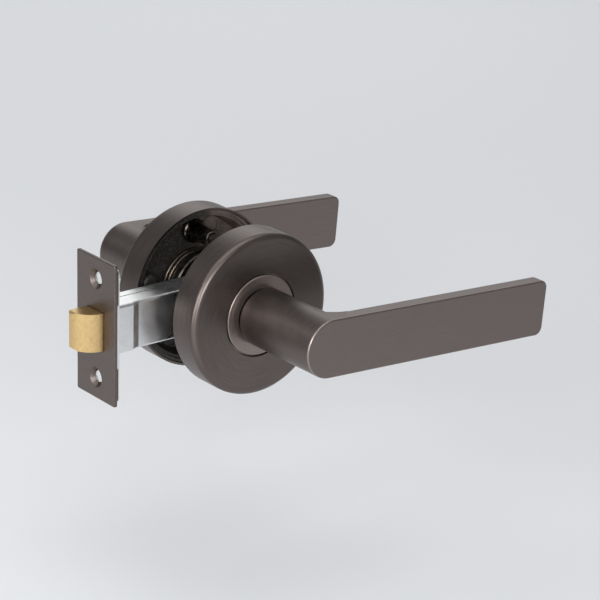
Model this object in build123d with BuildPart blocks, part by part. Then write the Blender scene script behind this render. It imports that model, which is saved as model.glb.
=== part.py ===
from build123d import *
from math import asin, cos, degrees, radians, sin, tan
import os

os.makedirs("parts", exist_ok=True)

# A passage latch set: two lever handles on round roses, joined by a square spindle that
# passes through a tubular latch. The origin is on the spindle axis, midway between the
# roses. -X points at the door's edge, -Y at the front lever and +Z up.

# Overall layout
backset = 60.0              # outer face of the latch plate to the spindle axis
rose_gap = 24.4             # clear width between the two roses
droop = 4.05                # both levers hang this far below level at rest
turn_range = 50.0           # travel of the levers, pressed down from rest

# Clearances
running = 0.08              # radial, a shaft turning in its bearing
seat = 0.1                  # fixed pieces that go together
sliding = 0.15              # pieces that slide in the latch case, each side
grip = 0.02                 # a clip in its groove

# Lever
lever_length = 112.7        # spindle axis to the end of the blade
lever_width = 23.3          # blade height, and the neck's diameter
lever_reach = 67.6          # mid-door to the blade's outer face
blade_thickness = 5.9
blade_edge = 0.6            # rounding round the blade's outer face
blade_back_edge = 0.5       # rounding round its inner face
blade_corner = 3.4          # corners at the blade's end
neck_flare = 4.5            # fillet between the neck and the blade
neck_shoulder = 1.7         # the neck's full width starts this far in front of the cover
neck_step = 0.95            # behind it a narrower end goes through the neck ring
lever_socket_depth = 19.0   # how far the drive sleeve goes into the neck
grub_setback = 7.5          # grub screw's axis behind the neck's end
grub_radius = 2.5
grub_length = 3.0
grub_key = 1.25             # hexagon socket, across corners, as a radius
grub_key_depth = 1.8

# Rose cover
rose_diameter = 65.5
rose_depth = 12.8
rose_wall = 0.9
rose_face = 1.2
rose_edge = 2.2             # rounding of the front edge
reveal = 0.65               # open joint between the cover and the neck ring

# Neck ring
ring_radius = 16.25
ring_flange = 1.7           # how far its flange reaches under the cover
ring_flange_thickness = 1.3
ring_proud = 0.15           # how far it stands out of the cover's face
ring_dish = 0.4             # fall of its face towards the neck
ring_lip = 0.5

# Mounting plate, a dished casting behind each cover
plate_setback = 0.6         # its first step behind the cover's rim
plate_step = 1.2            # width and depth of the two steps round its rim
plate_flange = 3.5
plate_play = 0.25           # round its rim, inside the cover
dish_wall = 1.4
dish_draft = 1.6            # how far the dish narrows to its floor
floor_setback = 8.3         # from the cover's rim to the floor
floor_thickness = 1.8
trough = 15.0               # width of the floor, from the central bearing tube to the dish's wall
tube_setback = 0.9          # the tube's end behind the cover's rim
fixing_inset = 5.6          # the fixings' axes inside the dish's wall, above and below the spindle
post_radius = 3.9
post_end_radius = 2.9
post_base_radius = 5.0
post_base_height = 2.6
post_shank_radius = 3.2     # pressed into the rear mounting plate
post_end = 6.6              # mid-door to the end of a threaded post
post_bore_depth = 12.0
post_chamfer = 0.5
mark_radius = 4.2           # moulded rings on the floor beside each post
mark_height = 0.4
anchor_angle = 167.7        # spring anchor boss, about the spindle axis
anchor_inset = 4.0          # inside the dish's wall
anchor_radius = 3.8
anchor_setback = 2.9
peg_offset = 7.9            # stop pegs, which end the lever's travel, outside the tube
peg_radius = 2.6

# Through bolts
bolt_radius = 2.0
bolt_hole = 2.4
bolt_head_radius = 4.2
bolt_head_height = 2.7
bolt_boss_radius = 5.6
bolt_boss_height = 4.0
bolt_pocket = 3.0
bolt_reach = 8.5            # engaged length in a threaded post
bolt_head_edge = 1.2

# Spindle, drive sleeves and cams
spindle_side = 7.6
spindle_half_length = 40.0
square_clearance = 0.05
sleeve_radius = 8.1
sleeve_collar_radius = 9.8
sleeve_collar = 1.0
cam_rim = 3.4               # the disc's edge outside the tube
cam_thickness = 3.3
cam_end = 9.6               # mid-door to the cam's near face
tab_half_width = 2.2
tab_offset = 4.9            # the folded tab outside the tube
tab_thickness = 4.0
tab_length = 4.6
circlip_radius = 10.1
circlip_thickness = 0.9
circlip_groove = 0.8
circlip_gap = 5.0
circlip_play = 0.2          # ahead of it, to the lever's neck

# Lever springs
lever_wire = 0.9            # wire radius
coil_room = 0.6             # between the tube and the coil
lever_coil_turns = 2
coil_gap = 0.3              # clear of the mounting plate's floor
spring_leg = 9.4            # both legs reach this far outside the tube
leg_bend = 1.6              # bend between the coil and each leg

# Latch plates
plate_height = 57.0
plate_width = 25.0
trim_thickness = 1.2
trim_corner = 0.8
trim_edge = 0.35
backer_thickness = 1.0
backer_height = 53.6
backer_corner = 2.0
screw_spacing = 40.0
screw_radius = 2.3
countersink_radius = 4.0

# Latch case
case_height = 19.5
case_wall = 0.7
case_step = 0.85            # each side, where the case narrows
case_fold = 1.05
wide_length = 11.3
step_length = 3.0
seam = 1.3                  # the joint between the halves, off the centre plane
seam_gap = 0.5
near_flange_end = -20.5
far_flange_end = -13.5
hub_wall_start = -13.0
hub_wall_end = 12.0
hub_wall_rise = 2.45        # above and below the case
hub_wall_corner = 3.5
tab_drop = 5.5              # spring tabs, folded in at the near half's flange ends
tab_half = 3.4
case_rivet_x = 10.0
rivet_radius = 1.6
rivet_head_radius = 2.8
rivet_head = 0.8

# Latch bolt
latch_bolt_height = 15.2
latch_bolt_width = 10.6
latch_bolt_projection = 9.0
latch_bolt_flat = 0.5       # straight side outside the plate before the bevel starts
latch_bolt_tip = 1.0
latch_bolt_corner = 1.2     # at the tip, above and below
latch_bolt_tail = 7.0       # length behind the finished plate
latch_bolt_play = 0.15      # each side in the case
opening_gap = 0.3
stem_radius = 2.0
stem_insert = 4.0
clip_radius = 3.0
clip_thickness = 0.8
clip_groove = 0.5

# Retractor
yoke_sheet = 1.2
yoke_front = -37.6
prong_start = -12.8
prong_end = 0.8
hub_radius = 6.8
journal_radius = 6.3
arm_angle = turn_range / 2  # the arm leans this far towards the door edge at rest
arm_half_width = 1.6
arm_length = 12.4
arm_half_thickness = 3.4
pin_height = 10.6
pin_radius = 1.4

# Latch springs
bolt_wire = 0.4
bolt_coil = 3.1
bolt_turns = 5
return_wire = 0.35
return_coil = 1.5
return_turns = 7
return_offset = 1.1
return_inset = 3.35         # from the case's top and bottom

# Worked out from the sizes above
half_gap = rose_gap / 2
rose_radius = rose_diameter / 2
cover_bore = rose_radius - rose_wall
face_level = half_gap + rose_depth
neck_radius = lever_width / 2
blade_inner = lever_reach - blade_thickness
floor_level = half_gap + floor_setback
back_level = floor_level + floor_thickness
neck_end = back_level + seat + circlip_thickness + circlip_play
shoulder_level = face_level + neck_shoulder
spigot_radius = neck_radius - neck_step
flange_radius = cover_bore - plate_play
dish_radius = flange_radius - 2 * plate_step - dish_draft
tube_radius = dish_radius - trough
fixing_height = dish_radius - fixing_inset
anchor_circle = dish_radius - anchor_inset
peg_circle = tube_radius + peg_offset
cam_radius = tube_radius + cam_rim
tab_inner = tube_radius + tab_offset
tab_outer = tab_inner + tab_thickness
lever_coil = tube_radius + coil_room + lever_wire
post_bore = bolt_radius + seat
mark_shift = post_base_radius + mark_radius + 2 * seat
tube_end = half_gap + tube_setback
cam_back = cam_end + cam_thickness
peg_end = cam_back + 2.3
peg_swing = turn_range / 2 + degrees(asin((tab_half_width + peg_radius + seat) / peg_circle))
case_front = -backset + trim_thickness
hub_wall_height = case_height + 2 * hub_wall_rise
narrow_half = latch_bolt_width / 2 + latch_bolt_play + case_wall
wide_half = narrow_half + case_step
step_start = case_front + wide_length
step_end = step_start + step_length
bolt_back = case_front + latch_bolt_tail
clip_start = yoke_front + yoke_sheet + seat
pin_offset = arm_half_width + pin_radius
pin_x = (pin_offset - pin_height * sin(radians(arm_angle))) / cos(radians(arm_angle)) + seat
retract_travel = 2 * pin_height * tan(radians(turn_range / 2))
slot_half = hub_radius + 2 * seat
grub_plane = Plane(
    origin=(0, -neck_end - grub_setback, 0),
    z_dir=(-sin(radians(droop)), 0, -cos(radians(droop))),
)


def front(*points):
    """Turn (radius, distance from mid-door) pairs into points on the front side of Plane.XY."""
    return [(radius, -distance) for radius, distance in points]


def turning_plane(x, z):
    """A plane that holds the line along Y at (x, z); its own x is the radius from it."""
    return Plane(origin=(x, 0, z), x_dir=(1, 0, 0), z_dir=(0, 0, 1))


def turning_axis(x, z):
    return Axis((x, 0, z), (0, 1, 0))


def across(distance):
    """A plane across the spindle on the front side, facing the front lever."""
    return Plane.XZ.offset(distance)


def drooped(distance):
    """The same plane, turned with the drooping lever: its x runs along the blade."""
    angle = radians(droop)
    return Plane(origin=(0, -distance, 0), x_dir=(cos(angle), 0, -sin(angle)), z_dir=(0, -1, 0))


def edge_on(x):
    """A plane across the latch, facing the door's edge: its x runs towards the front lever."""
    return Plane(origin=(x, 0, 0), x_dir=(0, -1, 0), z_dir=(-1, 0, 0))


def about_spindle(radius, angle):
    """A place at this radius and angle about the spindle, as (x, z)."""
    return radius * cos(radians(angle)), radius * sin(radians(angle))


def save(piece, label):
    piece.label = label
    export_step(piece, f"parts/{label}.step")


# Lever: a flat blade with a half-round end, and a round neck that flares into it
with BuildPart() as blade:
    with BuildSketch(drooped(blade_inner)) as blade_outline:
        Circle(neck_radius)
        Rectangle(lever_length, lever_width, align=(Align.MIN, Align.CENTER))
        fillet(blade_outline.vertices().sort_by(Axis.X)[-2:], blade_corner)
    extrude(amount=blade_thickness)
    fillet(blade.faces().sort_by(Axis.Y)[0].edges(), blade_edge)
    fillet(blade.faces().sort_by(Axis.Y)[-1].edges(), blade_back_edge)

with BuildPart() as front_lever:
    with BuildSketch(Plane.XY):
        with Locations((neck_radius - 1, -blade_inner - 1)):
            Rectangle(neck_flare + 1, neck_flare + 1, align=(Align.MIN, Align.MIN))
        with Locations((neck_radius + neck_flare, neck_flare - blade_inner)):
            Circle(neck_flare, mode=Mode.SUBTRACT)
    revolve(axis=Axis.Y)
    with BuildSketch(drooped(blade_inner - neck_flare)):
        add(blade_outline.sketch_local)
    extrude(amount=neck_flare + 1, mode=Mode.INTERSECT)
    add(blade.part)
    with BuildSketch(drooped(shoulder_level)):
        Circle(neck_radius)
    extrude(amount=blade_inner - shoulder_level + 1)
    with BuildSketch(across(neck_end)):
        Circle(spigot_radius)
    extrude(amount=shoulder_level - neck_end + 1)
    with BuildSketch(across(neck_end)):
        Circle(sleeve_radius + seat)
    extrude(amount=lever_socket_depth, mode=Mode.SUBTRACT)
    with BuildSketch(grub_plane):
        Circle(grub_radius + seat)
    extrude(amount=neck_radius + 1, mode=Mode.SUBTRACT)
save(front_lever.part, "front_lever")

# Grub screw under the neck, tightened onto the drive sleeve
with BuildPart() as front_grub_screw:
    with BuildSketch(grub_plane.offset(sleeve_radius + seat / 2)):
        Circle(grub_radius)
    extrude(amount=grub_length)
    with BuildSketch(grub_plane.offset(sleeve_radius + seat / 2 + grub_length)):
        RegularPolygon(grub_key, 6)
    extrude(amount=-grub_key_depth, mode=Mode.SUBTRACT)
save(front_grub_screw.part, "front_grub_screw")

# Rose cover: a turned cup with a rounded front edge
with BuildPart() as front_rose_cover:
    with BuildSketch(Plane.XY) as cover_section:
        Polygon(
            *front(
                (ring_radius + reveal, face_level),
                (rose_radius, face_level),
                (rose_radius, half_gap),
                (cover_bore, half_gap),
                (cover_bore, face_level - rose_face),
                (ring_radius + reveal, face_level - rose_face),
            ),
            align=None,
        )
        corners = cover_section.vertices()
        fillet(corners.group_by(Axis.X)[-1].sort_by(Axis.Y)[0], rose_edge)
        fillet(corners.group_by(Axis.X)[1].sort_by(Axis.Y)[0], rose_edge - rose_wall)
    revolve(axis=Axis.Y)
    front_rim = front_rose_cover.edges().group_by(Axis.Y)[0].sort_by(SortBy.LENGTH)[0]
    chamfer(front_rim, seat)
save(front_rose_cover.part, "front_rose_cover")

# Neck ring: seats on the mounting plate, and its flange is trapped under the cover
with BuildPart() as front_neck_ring:
    with BuildSketch(Plane.XY):
        Polygon(
            *front(
                (spigot_radius + running, back_level),
                (ring_radius + ring_flange, back_level),
                (ring_radius + ring_flange, back_level + ring_flange_thickness),
                (ring_radius, back_level + ring_flange_thickness),
                (ring_radius, face_level + ring_proud - ring_lip / 2),
                (ring_radius - ring_lip / 2, face_level + ring_proud),
                (ring_radius - ring_lip, face_level + ring_proud),
                (spigot_radius + ring_lip, face_level - ring_dish),
                (spigot_radius + running, face_level - ring_dish),
            ),
            align=None,
        )
    revolve(axis=Axis.Y)
save(front_neck_ring.part, "front_neck_ring")

# Mounting dish shared by both sides: stepped flange, deep floor, bearing tube and pegs
with BuildPart() as mount_dish:
    with BuildSketch(Plane.XY):
        Polygon(
            *front(
                (sleeve_radius + running, tube_end),
                (tube_radius, tube_end),
                (tube_radius, floor_level),
                (dish_radius, floor_level),
                (flange_radius - 2 * plate_step, half_gap + plate_setback + plate_step),
                (flange_radius - plate_step, half_gap + plate_setback + plate_step),
                (flange_radius - plate_step, half_gap + plate_setback),
                (flange_radius, half_gap + plate_setback),
                (flange_radius, half_gap + plate_setback + plate_flange),
                (flange_radius - 2 * plate_step + dish_wall, half_gap + plate_setback + plate_flange),
                (flange_radius - 2 * plate_step + dish_wall - dish_draft, back_level),
                (sleeve_radius + running, back_level),
            ),
            align=None,
        )
    revolve(axis=Axis.Y)
    for angle in (peg_swing, -peg_swing):
        peg_x, peg_z = about_spindle(peg_circle, angle)
        with BuildSketch(across(peg_end)):
            with Locations((peg_x, peg_z)):
                Circle(peg_radius)
        extrude(amount=floor_level - peg_end + seat)
    anchor_x, anchor_z = about_spindle(anchor_circle, anchor_angle)
    with BuildSketch(turning_plane(anchor_x, anchor_z)) as anchor_section:
        Polygon(
            *front(
                (0, floor_level + seat),
                (anchor_radius, floor_level + seat),
                (anchor_radius, half_gap + anchor_setback),
                (0, half_gap + anchor_setback),
            ),
            align=None,
        )
        fillet(anchor_section.vertices().group_by(Axis.X)[-1].sort_by(Axis.Y)[-1], anchor_radius / 2)
    revolve(axis=turning_axis(anchor_x, anchor_z))
    for side in (1, -1):
        with BuildSketch(across(floor_level - mark_height)):
            with Locations((side * mark_shift, side * fixing_height)):
                Circle(mark_radius)
                Circle(mark_radius - mark_height * 2, mode=Mode.SUBTRACT)
        extrude(amount=mark_height + seat)

# Front mounting plate: the dish with a pocketed boss for each through bolt
with BuildPart() as front_mount_plate:
    add(mount_dish.part)
    for side in (1, -1):
        with BuildSketch(turning_plane(0, side * fixing_height)):
            Polygon(
                *front(
                    (0, floor_level - bolt_boss_height),
                    (bolt_boss_radius - 1, floor_level - bolt_boss_height),
                    (bolt_boss_radius, floor_level),
                    (bolt_boss_radius, back_level),
                    (0, back_level),
                ),
                align=None,
            )
        revolve(axis=turning_axis(0, side * fixing_height))
        with BuildSketch(turning_plane(0, side * fixing_height)):
            Polygon(
                *front(
                    (0, floor_level - bolt_boss_height - 1),
                    (bolt_hole, floor_level - bolt_boss_height - 1),
                    (bolt_hole, back_level - bolt_pocket),
                    (bolt_head_radius + 2 * seat, back_level - bolt_pocket),
                    (bolt_head_radius + 2 * seat, back_level + 1),
                    (0, back_level + 1),
                ),
                align=None,
            )
        revolve(axis=turning_axis(0, side * fixing_height), mode=Mode.SUBTRACT)
save(front_mount_plate.part, "front_mount_plate")

# Rear mounting plate: the same dish turned to the other side, with a hole for each post
with BuildPart() as rear_mount_plate:
    mirror(mount_dish.part, about=Plane.XZ)
    with BuildSketch(across(-back_level)):
        with Locations((0, fixing_height), (0, -fixing_height)):
            Circle(post_shank_radius + seat / 2)
    extrude(amount=2 * floor_thickness, mode=Mode.SUBTRACT)
save(rear_mount_plate.part, "rear_mount_plate")

# Threaded posts: stepped studs pressed into the rear plate, hollow from their free ends
with BuildPart() as threaded_posts:
    for side in (1, -1):
        with BuildSketch(turning_plane(0, side * fixing_height)):
            Polygon(
                (0, back_level),
                (post_shank_radius, back_level),
                (post_shank_radius, floor_level),
                (post_base_radius, floor_level),
                (post_base_radius, floor_level - post_base_height + post_chamfer),
                (post_base_radius - post_chamfer, floor_level - post_base_height),
                (post_radius, floor_level - post_base_height),
                (post_end_radius, post_end),
                (post_bore + post_chamfer, post_end),
                (post_bore, post_end + post_chamfer),
                (post_bore, post_end + post_bore_depth),
                (0, post_end + post_bore_depth),
                align=None,
            )
        revolve(axis=turning_axis(0, side * fixing_height))
save(threaded_posts.part, "threaded_posts")

# Through bolts: pan heads in the front plate's pockets, ends in the threaded posts
bolt_seat = back_level - bolt_pocket
with BuildPart() as through_bolts:
    for side in (1, -1):
        with BuildSketch(turning_plane(0, side * fixing_height)) as bolt_section:
            Polygon(
                (0, -bolt_seat - bolt_head_height),
                (bolt_head_radius, -bolt_seat - bolt_head_height),
                (bolt_head_radius, -bolt_seat),
                (bolt_radius, -bolt_seat),
                (bolt_radius, post_end + bolt_reach - 0.5),
                (bolt_radius - 0.5, post_end + bolt_reach),
                (0, post_end + bolt_reach),
                align=None,
            )
            fillet(bolt_section.vertices().group_by(Axis.X)[-1].sort_by(Axis.Y)[0], bolt_head_edge)
        revolve(axis=turning_axis(0, side * fixing_height))
save(through_bolts.part, "through_bolts")

# Drive sleeve: a square-bored tube with a collar that holds the cam
with BuildPart() as front_drive_sleeve:
    sleeve_end = neck_end + lever_socket_depth - 0.5
    with BuildSketch(Plane.XY):
        Polygon(
            *front(
                (0, cam_end - sleeve_collar),
                (sleeve_collar_radius, cam_end - sleeve_collar),
                (sleeve_collar_radius, cam_end),
                (sleeve_radius, cam_end),
                (sleeve_radius, back_level + seat),
                (sleeve_radius - circlip_groove, back_level + seat),
                (sleeve_radius - circlip_groove, back_level + seat + circlip_thickness),
                (sleeve_radius, back_level + seat + circlip_thickness),
                (sleeve_radius, sleeve_end - 0.5),
                (sleeve_radius - 0.5, sleeve_end),
                (0, sleeve_end),
            ),
            align=None,
        )
    revolve(axis=Axis.Y)
    with BuildSketch(across(cam_end - sleeve_collar)):
        Rectangle(spindle_side + 2 * square_clearance, spindle_side + 2 * square_clearance)
    extrude(amount=sleeve_end, mode=Mode.SUBTRACT)
save(front_drive_sleeve.part, "front_drive_sleeve")

# Drive cam: a disc whose folded tab winds the spring and meets the stop pegs
with BuildPart() as front_drive_cam:
    with BuildSketch(across(cam_end)):
        Circle(cam_radius)
        with Locations(Rotation(0, 0, turn_range / 2)):
            Rectangle(tab_outer, 2 * tab_half_width, align=(Align.MIN, Align.CENTER))
        Circle(sleeve_radius + seat / 2, mode=Mode.SUBTRACT)
    extrude(amount=cam_thickness)
    disc_edges = front_drive_cam.edges().filter_by(GeomType.CIRCLE).sort_by(SortBy.RADIUS)
    chamfer(disc_edges.group_by(Axis.Y)[-1].sort_by(SortBy.RADIUS)[-1], 0.5)
    with BuildSketch(across(cam_back)):
        with Locations(Rotation(0, 0, turn_range / 2)):
            with Locations((tab_inner, 0)):
                Rectangle(tab_outer - tab_inner, 2 * tab_half_width, align=(Align.MIN, Align.CENTER))
    extrude(amount=tab_length)
save(front_drive_cam.part, "front_drive_cam")

# Circlip behind the mounting plate
with BuildPart() as front_circlip:
    with BuildSketch(across(back_level + seat + grip)):
        Circle(circlip_radius)
        Circle(sleeve_radius - circlip_groove + grip, mode=Mode.SUBTRACT)
        with Locations((0, -circlip_radius)):
            Rectangle(circlip_gap, circlip_radius, mode=Mode.SUBTRACT)
    extrude(amount=circlip_thickness - 2 * grip)
save(front_circlip.part, "front_circlip")

# Lever spring: a torsion coil round the bearing tube, from the anchor to the cam's tab
coil_start = floor_level - lever_wire - coil_gap
coil_end = cam_back + lever_wire + coil_gap / 2
leg_offset = lever_wire + seat - leg_bend
anchored = anchor_angle + degrees(asin((anchor_radius + leg_offset) / anchor_circle))
driven = turn_range / 2 - degrees(asin((tab_half_width + leg_offset) / tab_inner))
coil_sweep = 360 * lever_coil_turns + anchored - driven
coil_x, coil_z = about_spindle(1, anchored)
coil_plane = Plane(origin=(0, -coil_start, 0), x_dir=(coil_x, 0, coil_z), z_dir=(0, 1, 0))
coil_rise = coil_start - coil_end
lever_helix = coil_plane * Helix(coil_rise * 360 / coil_sweep, coil_rise, lever_coil)
with BuildPart() as front_lever_spring:
    with BuildLine() as wire_line:
        add(lever_helix)
        for end, tangent, angle in (
            (lever_helix @ 0, -(lever_helix % 0), anchored),
            (lever_helix @ 1, lever_helix % 1, driven),
        ):
            out_x, out_z = about_spindle(1, angle)
            outward = Vector(out_x, 0, out_z)
            bend = TangentArc(end, end + (tangent + outward) * leg_bend, tangent=tangent)
            Line(bend @ 1, bend @ 1 + outward * (tube_radius + spring_leg - lever_coil - leg_bend))
    lever_path = wire_line.wires()[0]
    with BuildSketch(Plane(origin=lever_path @ 0, z_dir=lever_path % 0)):
        Circle(lever_wire)
    sweep(path=lever_path)
save(front_lever_spring.part, "front_lever_spring")

# The rear lever, rose and drive pieces are the front ones mirrored through the door
for label, piece in {
    "rear_lever": front_lever,
    "rear_grub_screw": front_grub_screw,
    "rear_rose_cover": front_rose_cover,
    "rear_neck_ring": front_neck_ring,
    "rear_drive_sleeve": front_drive_sleeve,
    "rear_drive_cam": front_drive_cam,
    "rear_circlip": front_circlip,
    "rear_lever_spring": front_lever_spring,
}.items():
    with BuildPart() as rear_piece:
        mirror(piece.part, about=Plane.XZ)
    save(rear_piece.part, label)

# Square spindle through both levers and the latch
with BuildPart() as spindle_bar:
    with BuildSketch(Plane.XZ):
        Rectangle(spindle_side, spindle_side)
    extrude(amount=spindle_half_length, both=True)
    spindle_ends = spindle_bar.faces().filter_by(Axis.Y)
    chamfer(spindle_ends.edges(), 0.6)
save(spindle_bar.part, "spindle_bar")

# Latch face: a finished plate with countersunk screw holes, and a plated backer that goes
# round the case behind it
opening_width = latch_bolt_width + 2 * opening_gap
opening_height = latch_bolt_height + 2 * opening_gap
backer_face = -backset + trim_thickness
with BuildPart() as latch_trim_plate:
    with BuildSketch(edge_on(-backset)):
        RectangleRounded(plate_width, plate_height, trim_corner)
    extrude(amount=-trim_thickness)
    fillet(latch_trim_plate.faces().sort_by(Axis.X)[0].edges(), trim_edge)
    with BuildSketch(edge_on(-backset)):
        RectangleRounded(opening_width, opening_height, 0.4)
    extrude(amount=-trim_thickness, mode=Mode.SUBTRACT)
    with Locations(edge_on(-backset)):
        with Locations((0, screw_spacing / 2), (0, -screw_spacing / 2)):
            CounterSinkHole(screw_radius, countersink_radius, trim_thickness, counter_sink_angle=90)
save(latch_trim_plate.part, "latch_trim_plate")

with BuildPart() as latch_back_plate:
    with BuildSketch(edge_on(backer_face)):
        RectangleRounded(plate_width, backer_height, backer_corner)
        RectangleRounded(
            2 * (wide_half + seat), case_height + 2 * seat, case_fold + seat, mode=Mode.SUBTRACT
        )
    extrude(amount=-backer_thickness)
    with Locations(edge_on(backer_face)):
        with Locations((0, screw_spacing / 2), (0, -screw_spacing / 2)):
            CounterSinkHole(
                screw_radius, countersink_radius - trim_thickness, backer_thickness, counter_sink_angle=90
            )
save(latch_back_plate.part, "latch_back_plate")

# Latch case: a pressed tube in two halves, wider behind the face, with open hub walls
with BuildPart() as case_tube:
    for inset, effect in ((0, Mode.ADD), (case_wall, Mode.SUBTRACT)):
        fold = case_fold - inset * 0.8
        wide_size = (2 * (wide_half - inset), case_height - 2 * inset, fold)
        narrow_size = (2 * (narrow_half - inset), case_height - 2 * inset, fold)
        with BuildSketch(edge_on(case_front)):
            RectangleRounded(*wide_size)
        extrude(amount=-wide_length, mode=effect)
        with BuildSketch(edge_on(step_start)):
            RectangleRounded(*wide_size)
        with BuildSketch(edge_on(step_end)):
            RectangleRounded(*narrow_size)
        loft(mode=effect)
        with BuildSketch(edge_on(step_end)):
            RectangleRounded(*narrow_size)
        extrude(amount=-(far_flange_end - step_end), mode=effect)

for label, side, flange_end in (
    ("latch_case_near", 1, near_flange_end),
    ("latch_case_far", -1, far_flange_end),
):
    with BuildPart() as case_half:
        add(case_tube.part)
        cut_level = -seam + side * seam_gap / 2
        split(bisect_by=across(cut_level), keep=Keep.TOP if side == 1 else Keep.BOTTOM)
        with BuildSketch(across(0)):
            with Locations((flange_end, 0)):
                Rectangle(2 * backset, 2 * backset, align=(Align.MIN, Align.CENTER))
        extrude(amount=2 * narrow_half, both=True, mode=Mode.SUBTRACT)
        with BuildSketch(across(side * (narrow_half - case_wall))) as hub_wall:
            for start, height in (
                (flange_end - 1, case_height - 2 * case_fold),
                (hub_wall_start, hub_wall_height),
            ):
                with Locations((start, 0)):
                    Rectangle(hub_wall_end - start, height, align=(Align.MIN, Align.CENTER))
            tall_corners = hub_wall.vertices().group_by(Axis.Y)
            fillet(tall_corners[0] + tall_corners[-1], hub_wall_corner)
            Circle(journal_radius + running, mode=Mode.SUBTRACT)
            with Locations((case_rivet_x, 0)):
                Circle(rivet_radius + seat / 2, mode=Mode.SUBTRACT)
        extrude(amount=side * case_wall)
        if side == 1:
            tab_level = case_height / 2 - tab_drop / 2
            with BuildSketch(across(tab_half)):
                with Locations((near_flange_end, tab_level), (near_flange_end, -tab_level)):
                    Rectangle(case_wall, tab_drop, align=(Align.MAX, Align.CENTER))
            extrude(amount=cut_level - tab_half)
    save(case_half.part, label)

# Rivet that spaces the hub walls, with a shoulder between them
with BuildPart() as case_rivet:
    with BuildSketch(turning_plane(case_rivet_x, 0)):
        Polygon(
            (0, -narrow_half - rivet_head),
            (rivet_head_radius, -narrow_half - rivet_head),
            (rivet_head_radius, -narrow_half),
            (rivet_radius, -narrow_half),
            (rivet_radius, case_wall - narrow_half),
            (rivet_radius + 0.6, case_wall - narrow_half),
            (rivet_radius + 0.6, narrow_half - case_wall),
            (rivet_radius, narrow_half - case_wall),
            (rivet_radius, narrow_half),
            (rivet_head_radius, narrow_half),
            (rivet_head_radius, narrow_half + rivet_head),
            (0, narrow_half + rivet_head),
            align=None,
        )
    revolve(axis=turning_axis(case_rivet_x, 0))
    chamfer(case_rivet.edges().group_by(Axis.Y)[0] + case_rivet.edges().group_by(Axis.Y)[-1], 0.4)
save(case_rivet.part, "case_rivet")

# Follower: the hub that the spindle turns, with one arm that pulls the retractor
inner_half = narrow_half - case_wall
with BuildPart() as latch_follower:
    with BuildSketch(Plane.XZ):
        Circle(hub_radius)
    extrude(amount=inner_half - sliding, both=True)
    with BuildSketch(Plane.XZ):
        Circle(journal_radius)
    extrude(amount=narrow_half + seat, both=True)
    with BuildSketch(Plane.XZ) as arm:
        with Locations(Rotation(0, 0, arm_angle)):
            Rectangle(2 * arm_half_width, arm_length, align=(Align.CENTER, Align.MIN))
        fillet(arm.vertices().sort_by(Axis.Y)[-2:], arm_half_width * 0.8)
    extrude(amount=arm_half_thickness, both=True)
    with BuildSketch(Plane.XZ):
        Rectangle(spindle_side + 2 * square_clearance, spindle_side + 2 * square_clearance)
    extrude(amount=2 * narrow_half, both=True, mode=Mode.SUBTRACT)
save(latch_follower.part, "latch_follower")

# Retractor: a folded yoke with two forked sides that straddle the follower
yoke_half = inner_half - sliding
yoke_height = case_height - 2 * case_wall - 2 * sliding
prong_height = 2 * (pin_height + pin_radius + 0.2)
with BuildPart() as retractor_yoke:
    for side in (1, -1):
        with BuildSketch(across(side * (yoke_half - yoke_sheet))) as yoke_side:
            with Locations((yoke_front, 0)):
                Rectangle(prong_end - yoke_front, yoke_height, align=(Align.MIN, Align.CENTER))
            with Locations((prong_start, 0)):
                Rectangle(prong_end - prong_start, prong_height, align=(Align.MIN, Align.CENTER))
            outline = yoke_side.vertices().group_by(Axis.Y)
            fillet(outline[0] + outline[-1], 1.2)
            with Locations((-retract_travel - seat, 0)):
                Circle(slot_half, mode=Mode.SUBTRACT)
                Rectangle(2 * backset, 2 * slot_half, align=(Align.MIN, Align.CENTER), mode=Mode.SUBTRACT)
            with Locations((pin_x, pin_height)):
                Circle(pin_radius + seat / 2, mode=Mode.SUBTRACT)
        extrude(amount=side * yoke_sheet)
    with BuildSketch(edge_on(yoke_front)):
        Rectangle(2 * yoke_half, yoke_height)
        Circle(stem_radius + 2 * seat, mode=Mode.SUBTRACT)
    extrude(amount=-yoke_sheet)
save(retractor_yoke.part, "retractor_yoke")

# Drive pin across the yoke's upper prongs, riveted over at its ends
with BuildPart() as drive_pin:
    with BuildSketch(across(0)):
        with Locations((pin_x, pin_height)):
            Circle(pin_radius)
    extrude(amount=yoke_half, both=True)
save(drive_pin.part, "drive_pin")

# Latch bolt: a flat back and a bowed bevel that meets the strike
bolt_half = latch_bolt_width / 2
tip_x = -backset - latch_bolt_projection
bevel_start = Vector(tip_x, bolt_half - latch_bolt_tip)
bevel_end = Vector(-backset - latch_bolt_flat, -bolt_half)
with BuildPart() as latch_bolt:
    with BuildSketch(Plane.XY):
        with BuildLine():
            Line((bolt_back, bolt_half), (tip_x + latch_bolt_tip, bolt_half))
            TangentArc((tip_x + latch_bolt_tip, bolt_half), bevel_start, tangent=(-1, 0))
            TangentArc(bevel_start, bevel_end, tangent=(0, -1))
            Polyline(bevel_end, (bolt_back, -bolt_half), (bolt_back, bolt_half))
        make_face()
    extrude(amount=latch_bolt_height / 2, both=True)
    with BuildSketch(across(0)) as side_view:
        with Locations(((tip_x + bolt_back) / 2, 0)):
            Rectangle(bolt_back - tip_x, latch_bolt_height)
        fillet(side_view.vertices().group_by(Axis.X)[0], latch_bolt_corner)
    extrude(amount=latch_bolt_width, both=True, mode=Mode.INTERSECT)
    with BuildSketch(edge_on(bolt_back)):
        Circle(stem_radius + seat / 4)
    extrude(amount=stem_insert, mode=Mode.SUBTRACT)
save(latch_bolt.part, "latch_bolt")

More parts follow.
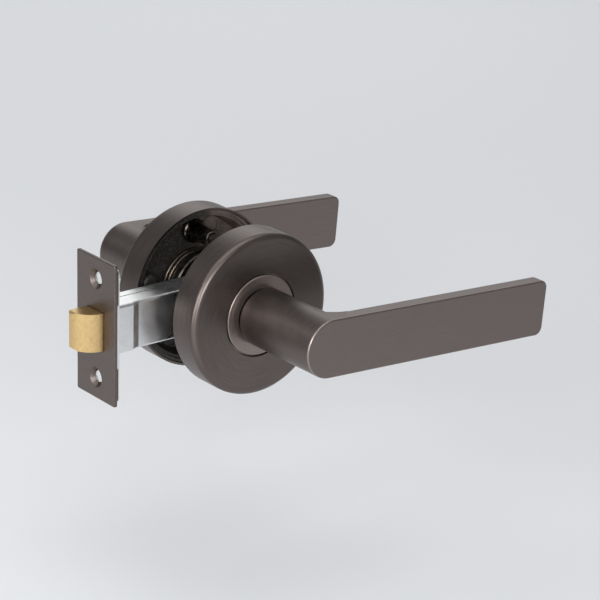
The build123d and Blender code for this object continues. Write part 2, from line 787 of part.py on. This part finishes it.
# Stem from the bolt's tail through the yoke, and the clip that lets the yoke pull it
with BuildPart() as bolt_stem:
    with BuildSketch(Plane.XY):
        Polygon(
            (bolt_back - stem_insert + seat, 0),
            (bolt_back - stem_insert + seat, stem_radius),
            (clip_start, stem_radius),
            (clip_start, stem_radius - clip_groove),
            (clip_start + clip_thickness + seat / 2, stem_radius - clip_groove),
            (clip_start + clip_thickness + seat / 2, stem_radius),
            (clip_start + 2.4 * clip_thickness, stem_radius),
            (clip_start + 3 * clip_thickness, stem_radius - clip_groove),
            (clip_start + 3 * clip_thickness, 0),
            align=None,
        )
    revolve(axis=Axis.X)
save(bolt_stem.part, "bolt_stem")

with BuildPart() as stem_clip:
    with BuildSketch(edge_on(clip_start)):
        Circle(clip_radius)
        Circle(stem_radius - clip_groove + grip, mode=Mode.SUBTRACT)
        with Locations((0, -clip_radius)):
            Rectangle(2 * (stem_radius - clip_groove), 2 * clip_radius, mode=Mode.SUBTRACT)
    extrude(amount=-clip_thickness)
save(stem_clip.part, "stem_clip")


def latch_coil(start, end, radius, turns, y=0, z=0):
    """Path of a compression spring that lies along the latch."""
    length = end - start
    plane = Plane(origin=(start, y, z), x_dir=(0, 0, 1), z_dir=(1, 0, 0))
    return plane * Helix(length / turns, length, radius)


# Springs in the latch: one pushes the bolt out of the yoke, two return the yoke
bolt_coil_path = latch_coil(bolt_back + bolt_wire, yoke_front - bolt_wire, bolt_coil, bolt_turns)
with BuildPart() as bolt_spring:
    with BuildSketch(Plane(origin=bolt_coil_path @ 0, z_dir=bolt_coil_path % 0)):
        Circle(bolt_wire)
    sweep(path=bolt_coil_path)
save(bolt_spring.part, "bolt_spring")

with BuildPart() as return_springs:
    for side in (1, -1):
        return_path = latch_coil(
            yoke_front + yoke_sheet + return_wire,
            near_flange_end - case_wall - return_wire,
            return_coil,
            return_turns,
            -return_offset,
            side * (case_height / 2 - return_inset),
        )
        with BuildSketch(Plane(origin=return_path @ 0, z_dir=return_path % 0)):
            Circle(return_wire)
        sweep(path=return_path)
save(return_springs.part, "return_springs")
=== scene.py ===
from math import cos, radians, sin

import bmesh
import bpy
from mathutils import Matrix, Vector


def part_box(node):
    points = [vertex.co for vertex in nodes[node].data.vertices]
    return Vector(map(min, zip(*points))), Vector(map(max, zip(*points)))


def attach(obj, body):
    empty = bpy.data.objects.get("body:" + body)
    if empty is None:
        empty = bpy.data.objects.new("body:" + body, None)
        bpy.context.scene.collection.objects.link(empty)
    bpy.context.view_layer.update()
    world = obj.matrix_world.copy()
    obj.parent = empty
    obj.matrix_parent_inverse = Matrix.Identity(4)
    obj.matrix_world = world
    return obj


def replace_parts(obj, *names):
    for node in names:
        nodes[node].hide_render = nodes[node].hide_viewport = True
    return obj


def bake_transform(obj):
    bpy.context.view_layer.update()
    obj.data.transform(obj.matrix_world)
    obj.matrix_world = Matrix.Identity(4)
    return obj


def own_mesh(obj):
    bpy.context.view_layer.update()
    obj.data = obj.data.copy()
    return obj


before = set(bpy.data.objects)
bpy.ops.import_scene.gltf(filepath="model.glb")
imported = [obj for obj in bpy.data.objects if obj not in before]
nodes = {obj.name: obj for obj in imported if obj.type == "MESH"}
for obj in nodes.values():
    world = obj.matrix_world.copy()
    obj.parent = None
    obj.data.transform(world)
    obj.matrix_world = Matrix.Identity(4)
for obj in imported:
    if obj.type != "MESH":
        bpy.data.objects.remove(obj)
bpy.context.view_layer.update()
scene = bpy.context.scene

# Places taken from the frame, in metres
BLADE_THICKNESS = 0.0059
COVER_TO_SHOULDER = 0.0017
LEVER_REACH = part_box("front_lever")[1].x
BLADE_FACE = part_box("rear_lever")[1].y
BLADE_INNER = BLADE_FACE - BLADE_THICKNESS
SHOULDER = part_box("rear_rose_cover")[1].y + COVER_TO_SHOULDER
POST_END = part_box("threaded_posts")[0].y
BACKER_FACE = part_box("latch_back_plate")[0].x
CASE_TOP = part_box("latch_case_near")[1].z

# How far the levers droop at rest, which the brushing along the blades follows
DROOP = radians(4.05)

# The plating on the levers, covers, rings and face plate
GUNMETAL = (0.150, 0.126, 0.116)

# Grain of the turned surfaces: rings in a metre, and breaks in a radian
RINGS = 2200
BREAKS = 2.2

# Springs: points that are one point, and the angle of an edge
MERGE = 0.000001
SHARP = radians(45)

FLOOR_REACH = 20.0


class Finish:
    """A material under construction: its node tree, with short calls for the nodes it needs."""

    def __init__(self, name, color, roughness, metallic=1.0):
        self.material = bpy.data.materials.new(name)
        self.material.use_nodes = True
        self.material.diffuse_color = (*color, 1.0)
        self.tree = self.material.node_tree
        self.shader = self.tree.nodes["Principled BSDF"]
        self.shader.inputs["Base Color"].default_value = (*color, 1.0)
        self.shader.inputs["Roughness"].default_value = roughness
        self.shader.inputs["Metallic"].default_value = metallic
        self.place = self.node("ShaderNodeTexCoord").outputs["Object"]

    def node(self, kind, **settings):
        made = self.tree.nodes.new(kind)
        for name, value in settings.items():
            setattr(made, name, value)
        return made

    def link(self, source, target):
        self.tree.links.new(source, target)

    def feed(self, socket, value):
        """Link an output, or set a plain value."""
        if isinstance(value, bpy.types.NodeSocket):
            self.link(value, socket)
        else:
            socket.default_value = value

    def math(self, operation, first, second=0.0):
        made = self.node("ShaderNodeMath", operation=operation)
        self.feed(made.inputs[0], first)
        self.feed(made.inputs[1], second)
        return made.outputs[0]

    def split(self, vector):
        made = self.node("ShaderNodeSeparateXYZ")
        self.link(vector, made.inputs[0])
        return made.outputs

    def join(self, x, y, z):
        made = self.node("ShaderNodeCombineXYZ")
        for socket, value in zip(made.inputs, (x, y, z)):
            self.feed(socket, value)
        return made.outputs[0]

    def stretched(self, vector, scale, turn=(0.0, 0.0, 0.0)):
        made = self.node("ShaderNodeMapping")
        made.inputs["Rotation"].default_value = turn
        made.inputs["Scale"].default_value = scale
        self.link(vector, made.inputs["Vector"])
        return made.outputs[0]

    def noise(self, vector, scale, detail=3.0, rough=0.5):
        made = self.node("ShaderNodeTexNoise")
        made.inputs["Scale"].default_value = scale
        made.inputs["Detail"].default_value = detail
        made.inputs["Roughness"].default_value = rough
        self.link(vector, made.inputs["Vector"])
        return made.outputs["Fac"]

    def ramp(self, value, low, high, start=0.0, end=1.0):
        """The value's stretch from low to high, as start to end."""
        made = self.node("ShaderNodeMapRange")
        self.link(value, made.inputs["Value"])
        for name, number in (("From Min", low), ("From Max", high), ("To Min", start), ("To Max", end)):
            made.inputs[name].default_value = number
        return made.outputs[0]

    def band(self, value, rise, fall):
        """1 from the end of the rise to the start of the fall, and 0 before and after them."""
        return self.math("MULTIPLY", self.ramp(value, *rise), self.ramp(value, *fall, 1.0, 0.0))

    def blend(self, amount, first, second, mode="MIX"):
        made = self.node("ShaderNodeMix", data_type="RGBA", blend_type=mode)
        self.feed(made.inputs["Factor"], amount)
        for socket, value in ((made.inputs[6], first), (made.inputs[7], second)):
            self.feed(socket, (*value, 1.0) if isinstance(value, tuple) else value)
        return made.outputs[2]

    def color(self, value):
        self.link(value, self.shader.inputs["Base Color"])

    def roughness(self, value):
        self.link(value, self.shader.inputs["Roughness"])

    def bump(self, height, strength, distance):
        made = self.node("ShaderNodeBump")
        made.inputs["Strength"].default_value = strength
        made.inputs["Distance"].default_value = distance
        self.link(height, made.inputs["Height"])
        self.link(made.outputs[0], self.shader.inputs["Normal"])

    def radius(self):
        """Distance from the spindle's axis."""
        x, _, z = self.split(self.place)
        squares = self.math("ADD", self.math("MULTIPLY", x, x), self.math("MULTIPLY", z, z))
        return self.math("SQRT", squares)

    def turned_grain(self):
        """Fine rings round the spindle's axis."""
        x, y, z = self.split(self.place)
        angle = self.math("ARCTAN2", z, x)
        rings = self.join(
            self.math("MULTIPLY", self.radius(), RINGS),
            self.math("MULTIPLY", y, RINGS),
            self.math("MULTIPLY", angle, BREAKS),
        )
        return self.noise(rings, 1.0, detail=4.0)

    def turned_sheen(self, amount):
        """Highlights drawn out across the rings."""
        self.shader.inputs["Anisotropic"].default_value = amount
        around = self.node("ShaderNodeVectorMath", operation="CROSS_PRODUCT")
        around.inputs[0].default_value = (0.0, 1.0, 0.0)
        self.link(self.place, around.inputs[1])
        tangent = self.node("ShaderNodeVectorTransform", vector_type="VECTOR")
        tangent.convert_from = "OBJECT"
        tangent.convert_to = "WORLD"
        self.link(around.outputs[0], tangent.inputs[0])
        self.link(tangent.outputs[0], self.shader.inputs["Tangent"])


def toned(color, factor):
    """The color, paler or darker."""
    return tuple(min(1.0, part * factor) for part in color)


def turned_gunmetal(name, paleness, crown, metallic=1.0):
    """Satin plating over a turned surface, whose face is crowned to this radius."""
    plain = toned(GUNMETAL, paleness)
    finish = Finish(name, plain, 0.36, metallic)
    grain = finish.turned_grain()
    cloud = finish.noise(finish.place, 28, detail=2.0)
    tone = finish.blend(finish.ramp(grain, 0.3, 0.7), toned(plain, 0.6), toned(plain, 1.4))
    finish.color(finish.blend(finish.ramp(cloud, 0.3, 0.7, 0.55, 0.8), tone, plain))
    finish.roughness(finish.ramp(grain, 0.2, 0.8, 0.29, 0.44))
    radius = finish.radius()
    fall = finish.math("DIVIDE", finish.math("MULTIPLY", radius, radius), -2 * crown)
    finish.bump(finish.math("ADD", fall, finish.math("MULTIPLY", grain, 0.000005)), 1.0, 1.0)
    finish.turned_sheen(0.55)
    return finish.material


def lever_gunmetal():
    """Satin plating, brushed along the blade and turned round the neck, with painted shade on the neck
    and the blade's top edges, a painted highlight along the edge of the blade's face, and a painted
    shadow in the gap inside the neck ring.
    """
    plain = toned(GUNMETAL, 1.4)
    finish = Finish("lever_gunmetal", plain, 0.38)
    x, y, _ = finish.split(finish.place)
    depth = finish.math("ABSOLUTE", y)
    neck_end = finish.ramp(x, 0.008, 0.012, BLADE_FACE - 0.0014, BLADE_INNER - 0.001)
    neck = finish.ramp(finish.math("SUBTRACT", depth, neck_end), 0.0, 0.0008, 1.0, 0.0)
    # The blade's top edges, which carry painted shade
    side = finish.band(
        depth,
        (BLADE_INNER + 0.0002, BLADE_INNER + 0.0006),
        (BLADE_FACE - 0.0009, BLADE_FACE - 0.0006),
    )
    # The rounded edge of the blade's face, which carries a painted highlight
    face_edge_highlight = finish.band(
        depth,
        (BLADE_FACE - 0.0007, BLADE_FACE - 0.0004),
        (BLADE_FACE - 0.0002, BLADE_FACE - 0.00005),
    )
    brushed = finish.stretched(finish.place, (130, 2600, 4200), (0.0, -DROOP, 0.0))
    grain = finish.blend(neck, finish.noise(brushed, 1.0, detail=4.0), finish.turned_grain())
    cloud = finish.noise(finish.place, 26, detail=2.0)
    tone = finish.blend(finish.ramp(grain, 0.3, 0.7), toned(plain, 0.75), toned(plain, 1.25))
    tone = finish.blend(finish.ramp(cloud, 0.3, 0.7, 0.6, 0.85), tone, plain)
    # Painted shade: the neck is darkened in full and the blade's top edges in part, standing in for the
    # shade that falls on them
    shade = finish.math("MAXIMUM", neck, finish.math("MULTIPLY", side, 0.7))
    darker = finish.blend(1.0, tone, (0.68, 0.68, 0.68), mode="MULTIPLY")
    tone = finish.blend(shade, tone, darker)
    # Painted highlight along the rounded edge of the blade's face
    tone = finish.blend(face_edge_highlight, tone, toned(plain, 1.7))
    # Painted shadow: the neck inside the ring is painted near black, standing in for the shaded gap
    # behind the shoulder
    gap_shadow = finish.ramp(depth, SHOULDER - 0.0004, SHOULDER - 0.0001, 1.0, 0.0)
    finish.color(finish.blend(gap_shadow, tone, (0.012, 0.010, 0.009)))
    finish.roughness(finish.ramp(grain, 0.2, 0.8, 0.33, 0.45))
    finish.bump(grain, 0.06, 0.00004)
    return finish.material


def face_gunmetal():
    """Satin plating brushed up and down the latch's face plate."""
    plain = toned(GUNMETAL, 1.05)
    finish = Finish("face_gunmetal", plain, 0.38)
    grain = finish.noise(finish.stretched(finish.place, (2400, 2400, 500)), 1.0, detail=4.0)
    finish.color(finish.blend(finish.ramp(grain, 0.3, 0.7), toned(plain, 0.86), toned(plain, 1.14)))
    finish.roughness(finish.ramp(grain, 0.2, 0.8, 0.33, 0.45))
    finish.bump(grain, 0.06, 0.00004)
    return finish.material


def cast_plating():
    """Rough zinc casting, near black towards the latch and browner on the other side."""
    finish = Finish("cast_plating", (0.19, 0.155, 0.135), 0.5, metallic=0.6)
    grit = finish.noise(finish.place, 1500, detail=5.0, rough=0.65)
    patches = finish.noise(finish.place, 210, detail=3.0)
    brown = finish.blend(finish.ramp(patches, 0.35, 0.65), (0.16, 0.125, 0.105), (0.27, 0.22, 0.19))
    brown = finish.blend(finish.ramp(grit, 0.3, 0.7, 0.0, 0.7), brown, (0.06, 0.048, 0.042))
    black = finish.blend(finish.ramp(grit, 0.45, 0.75), (0.035, 0.031, 0.029), (0.13, 0.12, 0.11))
    x, _, _ = finish.split(finish.place)
    wander = finish.math("MULTIPLY", finish.math("SUBTRACT", patches, 0.5), 0.012)
    latchward = finish.ramp(finish.math("ADD", x, wander), 0.0, 0.006, 1.0, 0.0)
    finish.color(finish.blend(latchward, brown, black))
    finish.roughness(finish.ramp(grit, 0.3, 0.7, 0.4, 0.62))
    finish.bump(grit, 0.5, 0.00012)
    return finish.material


def dark_steel(name, color, roughness, mottle):
    """Blackened or oiled steel, with a little mottling."""
    finish = Finish(name, color, roughness)
    spots = finish.noise(finish.place, mottle, detail=4.0)
    finish.color(finish.blend(finish.ramp(spots, 0.4, 0.75), color, toned(color, 1.9)))
    finish.roughness(finish.ramp(spots, 0.3, 0.7, roughness - 0.06, roughness + 0.1))
    finish.bump(spots, 0.08, 0.00005)
    return finish.material


def post_steel():
    """Blackened posts, with a bright machined end of bare steel that is painted paler still as a
    highlight.
    """
    finish = Finish("post_steel", (0.05, 0.043, 0.039), 0.26)
    _, y, _ = finish.split(finish.place)
    # The machined end is bare steel, and its pale colour is also a painted highlight standing in for
    # light the end doesn't get
    bare_end_highlight = finish.ramp(y, POST_END + 0.0002, POST_END + 0.0006, 1.0, 0.0)
    spots = finish.noise(finish.place, 700, detail=4.0)
    black = finish.blend(finish.ramp(spots, 0.35, 0.75), (0.04, 0.034, 0.031), (0.085, 0.074, 0.067))
    finish.color(finish.blend(bare_end_highlight, black, (0.75, 0.70, 0.65)))
    finish.roughness(finish.ramp(spots, 0.3, 0.7, 0.22, 0.34))
    return finish.material


def zinc_plating():
    """Bright zinc plate over pressed steel, smooth and faintly clouded, with painted shade on the back
    plate where it shows through the screw holes.
    """
    finish = Finish("zinc_plating", (0.79, 0.795, 0.79), 0.3)
    cloud = finish.noise(finish.place, 150, detail=3.0)
    mottle = finish.noise(finish.place, 620, detail=3.0)
    tone = finish.blend(finish.ramp(cloud, 0.3, 0.7), (0.72, 0.73, 0.735), (0.86, 0.865, 0.855))
    tone = finish.blend(finish.ramp(mottle, 0.35, 0.7, 0.0, 0.35), tone, (0.70, 0.71, 0.715))
    x, _, z = finish.split(finish.place)
    # Painted shade: the back plate's front face above and below the case, seen through the screw holes,
    # is painted dark brown
    front = finish.ramp(x, BACKER_FACE + 0.0004, BACKER_FACE + 0.0006, 1.0, 0.0)
    outer = finish.ramp(finish.math("ABSOLUTE", z), CASE_TOP, CASE_TOP + 0.001)
    finish.color(finish.blend(finish.math("MULTIPLY", front, outer), tone, (0.12, 0.095, 0.08)))
    finish.roughness(finish.ramp(cloud, 0.3, 0.7, 0.26, 0.36))
    return finish.material


def plated_steel():
    """Dull zinc plate on turned and cut steel pieces."""
    finish = Finish("plated_steel", (0.42, 0.43, 0.45), 0.36)
    mottle = finish.noise(finish.place, 420, detail=4.0)
    finish.color(finish.blend(finish.ramp(mottle, 0.3, 0.7), (0.33, 0.34, 0.36), (0.5, 0.51, 0.53)))
    finish.roughness(finish.ramp(mottle, 0.3, 0.7, 0.3, 0.44))
    finish.bump(mottle, 0.06, 0.00005)
    return finish.material


def satin_brass():
    """Brass with a finely speckled face."""
    plain = (0.70, 0.50, 0.235)
    finish = Finish("satin_brass", plain, 0.36)
    grain = finish.noise(finish.stretched(finish.place, (900, 900, 600)), 1.0, detail=5.0, rough=0.65)
    cloud = finish.noise(finish.place, 110, detail=2.0)
    tone = finish.blend(finish.ramp(grain, 0.3, 0.7), (0.57, 0.37, 0.135), (0.80, 0.60, 0.325))
    finish.color(finish.blend(finish.ramp(cloud, 0.3, 0.7, 0.3, 0.7), tone, plain))
    finish.roughness(finish.ramp(grain, 0.2, 0.8, 0.30, 0.44))
    finish.bump(grain, 0.1, 0.00006)
    return finish.material


def dress(material, *names):
    """Give these nodes the material."""
    for name in names:
        mesh = nodes[name].data
        mesh.materials.clear()
        mesh.materials.append(material)


wire = dark_steel("spring_wire", (0.10, 0.08, 0.065), 0.34, 900)
dress(turned_gunmetal("cover_gunmetal", 0.92, 0.3), "front_rose_cover", "rear_rose_cover")
# Painted light: the neck rings take a much paler, less metallic copy of the cover plating, so they read
# as lit brighter than the covers
dress(turned_gunmetal("lit_ring_gunmetal", 1.7, 0.2, metallic=0.8), "front_neck_ring", "rear_neck_ring")
dress(lever_gunmetal(), "front_lever", "rear_lever")
dress(face_gunmetal(), "latch_trim_plate")
dress(cast_plating(), "front_mount_plate", "rear_mount_plate")
dress(
    dark_steel("blackened_steel", (0.06, 0.052, 0.047), 0.36, 700),
    "front_drive_cam",
    "rear_drive_cam",
    "front_grub_screw",
    "rear_grub_screw",
    "through_bolts",
)
dress(post_steel(), "threaded_posts")
dress(
    zinc_plating(),
    "latch_back_plate",
    "latch_case_near",
    "latch_case_far",
    "retractor_yoke",
)
dress(
    plated_steel(),
    "front_drive_sleeve",
    "rear_drive_sleeve",
    "spindle_bar",
    "case_rivet",
    "latch_follower",
    "drive_pin",
    "bolt_stem",
)
dress(satin_brass(), "latch_bolt")
dress(
    wire,
    "front_lever_spring",
    "rear_lever_spring",
    "front_circlip",
    "rear_circlip",
    "stem_clip",
    "bolt_spring",
    "return_springs",
)


def coil_of(node, name):
    """A copy of a spring, merged and smooth shaded, with its sharp edges kept."""
    coil_form = bmesh.new()
    coil_form.from_mesh(nodes[node].data)
    bmesh.ops.remove_doubles(coil_form, verts=coil_form.verts, dist=MERGE)
    coil_mesh = bpy.data.meshes.new(name)
    coil_form.to_mesh(coil_mesh)
    coil_form.free()
    if "custom_normal" in coil_mesh.attributes:
        coil_mesh.attributes.remove(coil_mesh.attributes["custom_normal"])
    coil_mesh.shade_smooth()
    coil_mesh.set_sharp_from_angle(angle=SHARP)
    coil_mesh.materials.append(wire)
    coil = bpy.data.objects.new(name, coil_mesh)
    scene.collection.objects.link(coil)
    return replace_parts(coil, node)


return_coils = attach(coil_of("return_springs", "return_coils"), "fixed")
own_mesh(return_coils)

bolt_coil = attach(coil_of("bolt_spring", "bolt_coil"), "bolt")
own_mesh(bolt_coil)

# The levers' springs wind up from the anchored leg to the leg that the cam drives; here each is copied
# with its place baked into its mesh
for side in ("front", "rear"):
    lever_coil = coil_of(f"{side}_lever_spring", f"{side}_lever_coil")
    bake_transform(lever_coil)

# Floor, below the levers when they are down, because the door holds the set up
floor_form = bmesh.new()
bmesh.ops.create_grid(floor_form, x_segments=1, y_segments=1, size=FLOOR_REACH)
bmesh.ops.translate(floor_form, verts=floor_form.verts, vec=(0.0, 0.0, -LEVER_REACH))
floor_mesh = bpy.data.meshes.new("floor")
floor_form.to_mesh(floor_mesh)
floor_form.free()
pale = Finish("pale_floor", (0.74, 0.75, 0.77), 0.9, metallic=0.0)
pale.shader.inputs["Specular IOR Level"].default_value = 0.0
floor_mesh.materials.append(pale.material)
floor = bpy.data.objects.new("floor", floor_mesh)
scene.collection.objects.link(floor)


def softbox(name, place, width, height, watts, spread=180):
    """A soft rectangular lamp, aimed at the set, whose grid keeps its light within the spread."""
    data = bpy.data.lights.new(name, "AREA")
    data.shape = "RECTANGLE"
    data.size = width
    data.size_y = height
    data.energy = watts
    data.spread = radians(spread)
    lamp = bpy.data.objects.new(name, data)
    stand = Vector(place)
    aim = (-stand).to_track_quat("-Z", "Y")
    lamp.matrix_world = Matrix.Translation(stand) @ aim.to_matrix().to_4x4()
    scene.collection.objects.link(lamp)


softbox("back_softbox", (0.75, 0.95, 0.6), 1.2, 0.6, 2.8)
softbox("high_softbox", (-0.9, 0.6, 1.0), 0.8, 0.8, 2.6)
softbox("key_softbox", (-0.75, -0.9, 0.4), 0.7, 0.5, 2.55, spread=90)
softbox("left_softbox", (-1.0, -0.1, 0.3), 0.5, 0.6, 1.45, spread=90)

# A broad, weak light from straight above evens out the floor
overhead_data = bpy.data.lights.new("overhead", "SUN")
overhead_data.energy = 1.1
overhead_data.angle = radians(60)
scene.collection.objects.link(bpy.data.objects.new("overhead", overhead_data))

world = bpy.data.worlds.new("studio")
world.use_nodes = True
backdrop = world.node_tree.nodes["Background"]
backdrop.inputs["Color"].default_value = (0.72, 0.74, 0.77, 1.0)
backdrop.inputs["Strength"].default_value = 0.3
scene.world = world

# The photograph's camera, measured on the plate, the roses and the levers
AZIMUTH = radians(40.04)
ELEVATION = radians(20.86)
ROLL = radians(1.93)
DISTANCE = 0.8932
RIGHTWARD = 0.03083
DOWNWARD = 0.0015
FOCAL_LENGTH = 136.1
SENSOR = 36.0
ahead = Vector((sin(AZIMUTH) * cos(ELEVATION), cos(AZIMUTH) * cos(ELEVATION), -sin(ELEVATION)))
level = Vector((cos(AZIMUTH), -sin(AZIMUTH), 0.0))
upright = level.cross(ahead)
right = cos(ROLL) * level + sin(ROLL) * upright
above = cos(ROLL) * upright - sin(ROLL) * level
viewpoint = -DISTANCE * ahead + RIGHTWARD * right - DOWNWARD * above
turn = Matrix((right, above, -ahead)).transposed().to_4x4()
camera_data = bpy.data.cameras.new("photo_camera")
camera_data.sensor_width = SENSOR
camera_data.lens = FOCAL_LENGTH
camera = bpy.data.objects.new("photo_camera", camera_data)
camera.matrix_world = Matrix.Translation(viewpoint) @ turn
scene.collection.objects.link(camera)
scene.camera = camera
scene.view_settings.view_transform = "Standard"
